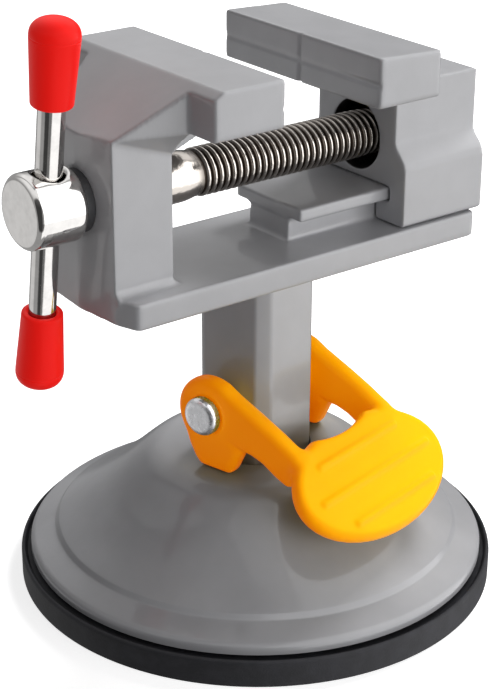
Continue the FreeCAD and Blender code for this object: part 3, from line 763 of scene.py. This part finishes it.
def make_softbox(name, place, target, width, height, power, mirrored_in_gloss=False):
    data = bpy.data.lights.new(name, "AREA")
    data.shape = "RECTANGLE"
    data.size = width * MM
    data.size_y = height * MM
    data.energy = power
    light = bpy.data.objects.new(name, data)
    light.location = Vector(place) * MM
    light.rotation_mode = "QUATERNION"
    light.rotation_quaternion = (Vector(place) - Vector(target)).to_track_quat("Z", "Y")
    light.visible_glossy = mirrored_in_gloss
    bpy.context.scene.collection.objects.link(light)
    return light


def make_floor():
    """Pale paper. It takes the shadow for the camera; reflections see the studio panels instead."""
    half = 3000.0
    mesh = bpy.data.meshes.new("floor")
    mesh.from_pydata([(-half * MM, -half * MM, 0), (half * MM, -half * MM, 0), (half * MM, half * MM, 0),
                      (-half * MM, half * MM, 0)], [], [(0, 1, 2, 3)])
    floor = bpy.data.objects.new("floor", mesh)
    floor.location.z = -0.02 * MM
    floor.visible_glossy = False
    floor.visible_diffuse = False
    bpy.context.scene.collection.objects.link(floor)
    material, tree, shader = new_material("floor_paper", Roughness=0.9, Specular_IOR_Level=0.0)
    fibre = ramp(tree, noise(tree, 40.0).outputs["Fac"], (0.3, 0.0), (0.7, 1.0))
    tree.links.new(mixed(tree, fibre, (0.80, 0.80, 0.80, 1), (0.82, 0.82, 0.82, 1)),
                   shader.inputs["Base Color"])
    shader.inputs["Emission Color"].default_value = (1, 1, 1, 1)
    shader.inputs["Emission Strength"].default_value = FLOOR_GLOW
    mesh.materials.append(material)


def math_node(tree, operation, *values, clamp=False):
    node = add_node(tree, "ShaderNodeMath", operation=operation, use_clamp=clamp)
    for index, value in enumerate(values):
        if hasattr(value, "links"):
            tree.links.new(value, node.inputs[index])
        else:
            node.inputs[index].default_value = value
    return node.outputs[0]


def soft_step(tree, value, edge, width):
    """0 below the edge and 1 above it, over a width."""
    return ramp(tree, value, (edge - width / 2, 0.0), (edge + width / 2, 1.0))


def dot_with(tree, direction, vector):
    node = add_node(tree, "ShaderNodeVectorMath", [(0, direction)], operation="DOT_PRODUCT")
    node.inputs[1].default_value = vector
    return node.outputs["Value"]


def make_world():
    """White for the camera, even grey for diffuse light, and studio panels for reflections."""
    world = bpy.data.worlds.new("studio")
    world.use_nodes = True
    tree = world.node_tree
    place = add_node(tree, "ShaderNodeTexCoord")
    direction = place.outputs["Generated"]
    height = dot_with(tree, direction, (0, 0, 1))
    ahead = dot_with(tree, direction, (0, -1, 0))
    inside = dot_with(tree, direction, (0.697, -0.669, -0.239))
    panel = math_node(tree, "MULTIPLY", soft_step(tree, inside, 0.0, 0.05),
                      soft_step(tree, ahead, 0.14, 0.10))
    upper = soft_step(tree, height, -0.37, 0.03)
    lower = math_node(tree, "MULTIPLY", soft_step(tree, height, -0.86, 0.06), 1.1)
    strength = math_node(tree, "ADD", lower, math_node(tree, "MULTIPLY", upper, PANEL - 1.1))
    panel = math_node(tree, "MULTIPLY", panel, strength)
    over_x = math_node(tree, "DIVIDE", dot_with(tree, direction, (1, 0, 0)),
                       math_node(tree, "MAXIMUM", height, 0.05))
    over_y = math_node(tree, "DIVIDE", dot_with(tree, direction, (0, 1, 0)),
                       math_node(tree, "MAXIMUM", height, 0.05))
    inner_x = math_node(tree, "ADD", over_x, 0.68)
    inner_y = math_node(tree, "ADD", over_y, 0.16)
    inner = math_node(tree, "SMOOTH_MIN", inner_x, inner_y, 0.3)
    band = math_node(tree, "MULTIPLY", soft_step(tree, inner, -0.02, 0.03),
                     math_node(tree, "SUBTRACT", 1.0, soft_step(tree, inner, 0.13, 0.16)))
    ceiling = math_node(tree, "MULTIPLY", soft_step(tree, height, 0.45, 0.4), CEILING)
    ceiling = math_node(tree, "MULTIPLY", ceiling, math_node(tree, "SUBTRACT", 1.0, band))
    paper = math_node(tree, "MULTIPLY", soft_step(tree, dot_with(tree, direction, (-0.56, 0.72, -0.41)), 0.93, 0.06),
                      0.40)
    reflected = math_node(tree, "ADD", math_node(tree, "MAXIMUM", panel, ceiling), 0.42)
    reflected = math_node(tree, "ADD", reflected, paper)
    for shade_direction, edge in (((-0.81, -0.58, -0.05), 0.78), ((0.81, 0.50, -0.30), 0.79)):
        flag = soft_step(tree, dot_with(tree, direction, shade_direction), edge, 0.06)
        keep = math_node(tree, "SUBTRACT", 1.0, math_node(tree, "MULTIPLY", flag, 0.85))
        reflected = math_node(tree, "MULTIPLY", reflected, keep)
    path = add_node(tree, "ShaderNodeLightPath")
    grey = mixed(tree, path.outputs["Is Glossy Ray"], (AMBIENT, AMBIENT, AMBIENT * 1.02, 1), reflected)
    color = mixed(tree, path.outputs["Is Camera Ray"], grey, (1, 1, 1, 1))
    tree.links.new(color, tree.nodes["Background"].inputs["Color"])
    world.cycles.sampling_method = "NONE"
    bpy.context.scene.world = world
    bpy.context.scene.view_settings.view_transform = "Standard"


# ================================================================ the scene
dome_paint = enamel("dome_enamel", (0.38, 0.38, 0.395))
casting_paint = enamel("casting_enamel", (0.47, 0.47, 0.485))
jaw_paint = enamel("jaw_enamel", (0.47, 0.47, 0.485), shaded_bore=JAW_BORE_R)
post_paint = enamel("post_enamel", (0.46, 0.46, 0.475))
# both plastics carry a painted glow that only the camera sees
lever_plastic = plastic("lever_plastic", (1.0, 0.62, 0.0), (1.0, 0.10, 0.0), 0.45, 0.36)
cap_plastic = plastic("cap_plastic", (0.86, 0.014, 0.012), (0.9, 0.01, 0.005), 0.38, 0.3)
chrome = bright_metal("plated_steel", (0.66, 0.645, 0.63), 0.05, dents=0.012)
pin_steel = bright_metal("zinc_plate", (0.80, 0.80, 0.82), 0.28, dents=0.05, lump=0.8)
plain_steel = bright_metal("plain_steel", (0.55, 0.55, 0.57), 0.35)
oiled_steel = bright_metal("oiled_steel", (0.05, 0.045, 0.04), 0.45)
screw_steel = thread_steel("thread_steel")
pad_rubber = rubber("pad_rubber")
nylon = black_nylon("nylon")

FINISHES = {
    "base_dome": dome_paint, "suction_pad": pad_rubber, "pad_stud": plain_steel, "post": post_paint,
    "suction_lever": lever_plastic, "lever_pin": pin_steel, "pin_clip": plain_steel,
    "friction_ring": nylon, "swivel_washer": plain_steel, "swivel_screw": plain_steel,
    "vise_body": casting_paint, "lead_screw": screw_steel, "screw_head": chrome,
    "thrust_washer": nylon, "tommy_bar": chrome, "upper_bar_cap": cap_plastic,
    "lower_bar_cap": cap_plastic, "moving_jaw": jaw_paint, "jaw_nut": oiled_steel,
}
for node, material in FINISHES.items():
    mesh = frame["nodes"][node].data
    mesh.materials.clear()
    mesh.materials.append(material)

make_dome(dome_paint)
make_pad(pad_rubber)
make_post(post_paint)
make_lever(lever_plastic)
make_pin(pin_steel)
make_screw(screw_steel)
make_head(chrome)
make_bar(chrome)
make_cap("upper_cap", "upper_bar_cap", 1, cap_plastic)
make_cap("lower_cap", "lower_bar_cap", -1, cap_plastic)
cast_copy("body_casting", "vise_body", 0.3, 5, casting_paint, "head")
cast_copy("jaw_casting", "moving_jaw", 0.3, 5, jaw_paint, "jaw")

make_camera()
make_floor()
make_world()
make_softbox("top_softbox", TOP_PLACE, (0, 0, 60), 260, 260, TOP_POWER)
make_softbox("front_softbox", FRONT_PLACE, (0, 0, 50), 520, 300, FRONT_POWER)
